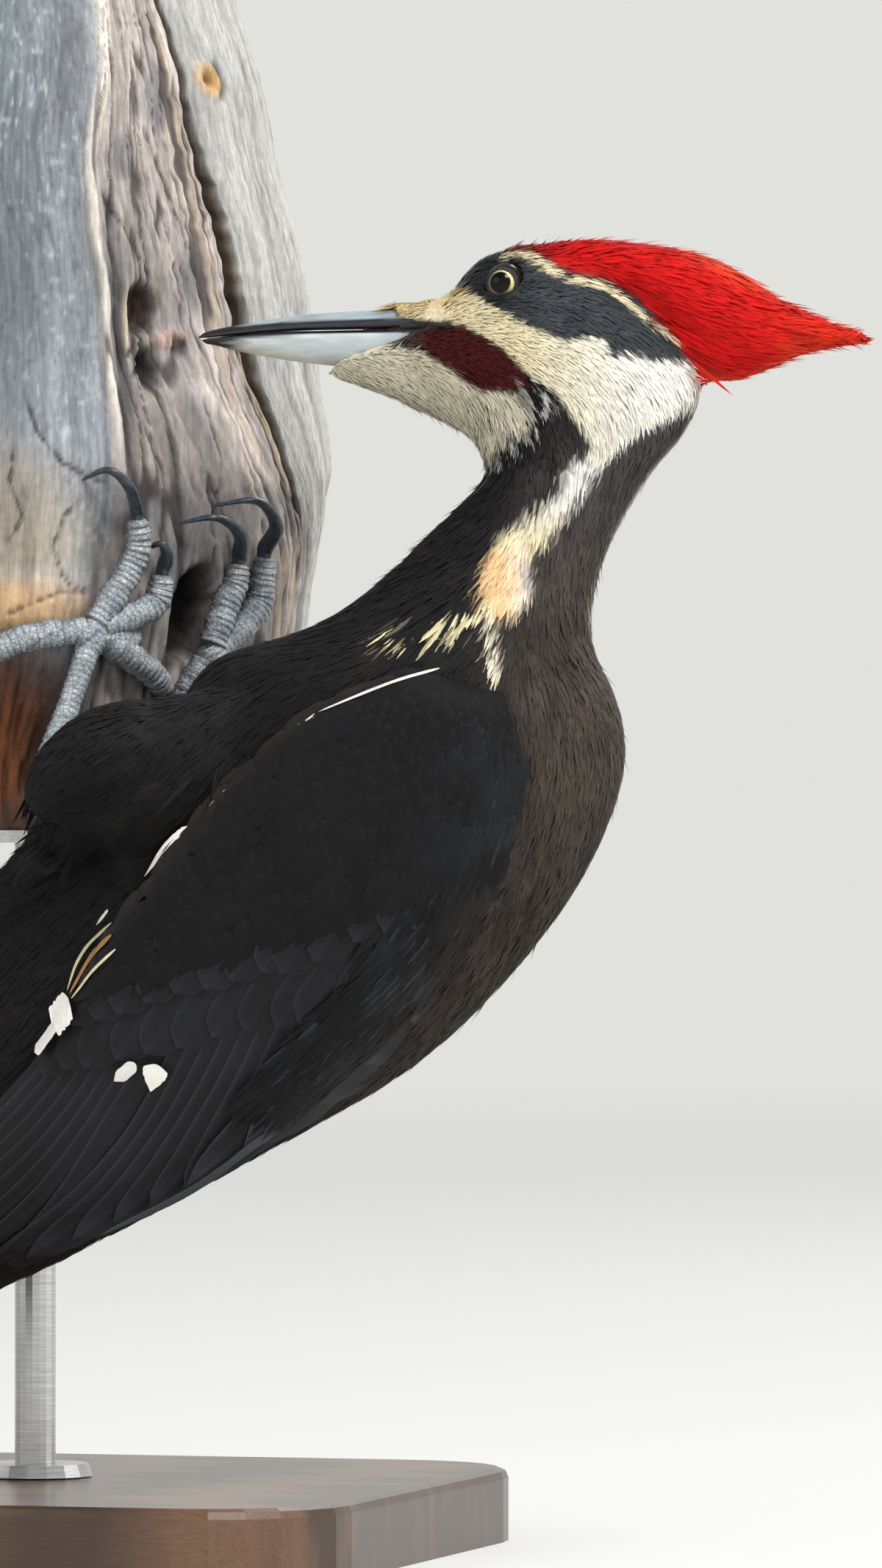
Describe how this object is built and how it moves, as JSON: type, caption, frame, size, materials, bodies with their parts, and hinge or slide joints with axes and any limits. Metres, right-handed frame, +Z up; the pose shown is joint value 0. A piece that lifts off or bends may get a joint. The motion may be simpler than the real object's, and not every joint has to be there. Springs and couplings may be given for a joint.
{
  "type": "pileated woodpecker",
  "caption": "Life-size still model of a crested woodpecker clinging to a short cut length of weathered trunk, held on a flat base by upright rods.",
  "frame": {"origin": "centre of the whole model's box, on the underside of the stand's base", "axes": "+Z up; the bird's bill points to -X and its left side faces -Y"},
  "size_m": [0.3744, 0.2, 0.381],
  "materials": {
    "plumage_black": "soft, slightly glossy black feathers with white, cream and maroon markings on the head and neck",
    "plumage_red": "soft bright red crest feathers",
    "bill_horn": "satin bluish grey horn with a black tip and band",
    "claw_horn": "glossy dark blue-black horn",
    "foot_scales": "dry scaly blue-grey skin",
    "eye": "glossy, pale yellow iris round a black pupil",
    "weathered_wood": "dry grey barkless wood with cracks, fibres and brown rotten hollows",
    "stand_wood": "satin lacquered walnut",
    "stand_steel": "satin"
  },
  "bodies": {
    "root": {"head": "plumage_black", "neck": "plumage_black", "body": "plumage_black", "wing_left": "plumage_black", "wing_right": "plumage_black", "tail": "plumage_black", "thigh_left": "plumage_black", "thigh_right": "plumage_black", "crest": "plumage_red", "bill_upper": "bill_horn", "bill_lower": "bill_horn", "eye_left": "eye", "tarsus_left": "foot_scales", "toe_left_1": "foot_scales", "claw_left_1": "claw_horn", "toe_left_2": "foot_scales", "claw_left_2": "claw_horn", "toe_left_3": "foot_scales", "claw_left_3": "claw_horn", "toe_left_4": "foot_scales", "claw_left_4": "claw_horn", "eye_right": "eye", "tarsus_right": "foot_scales", "toe_right_1": "foot_scales", "claw_right_1": "claw_horn", "toe_right_2": "foot_scales", "claw_right_2": "claw_horn", "toe_right_3": "foot_scales", "claw_right_3": "claw_horn", "toe_right_4": "foot_scales", "claw_right_4": "claw_horn", "perch": "weathered_wood", "stand_base": "stand_wood", "stand_rod_1": "stand_steel", "stand_rod_2": "stand_steel"}
  },
  "joints": []
}
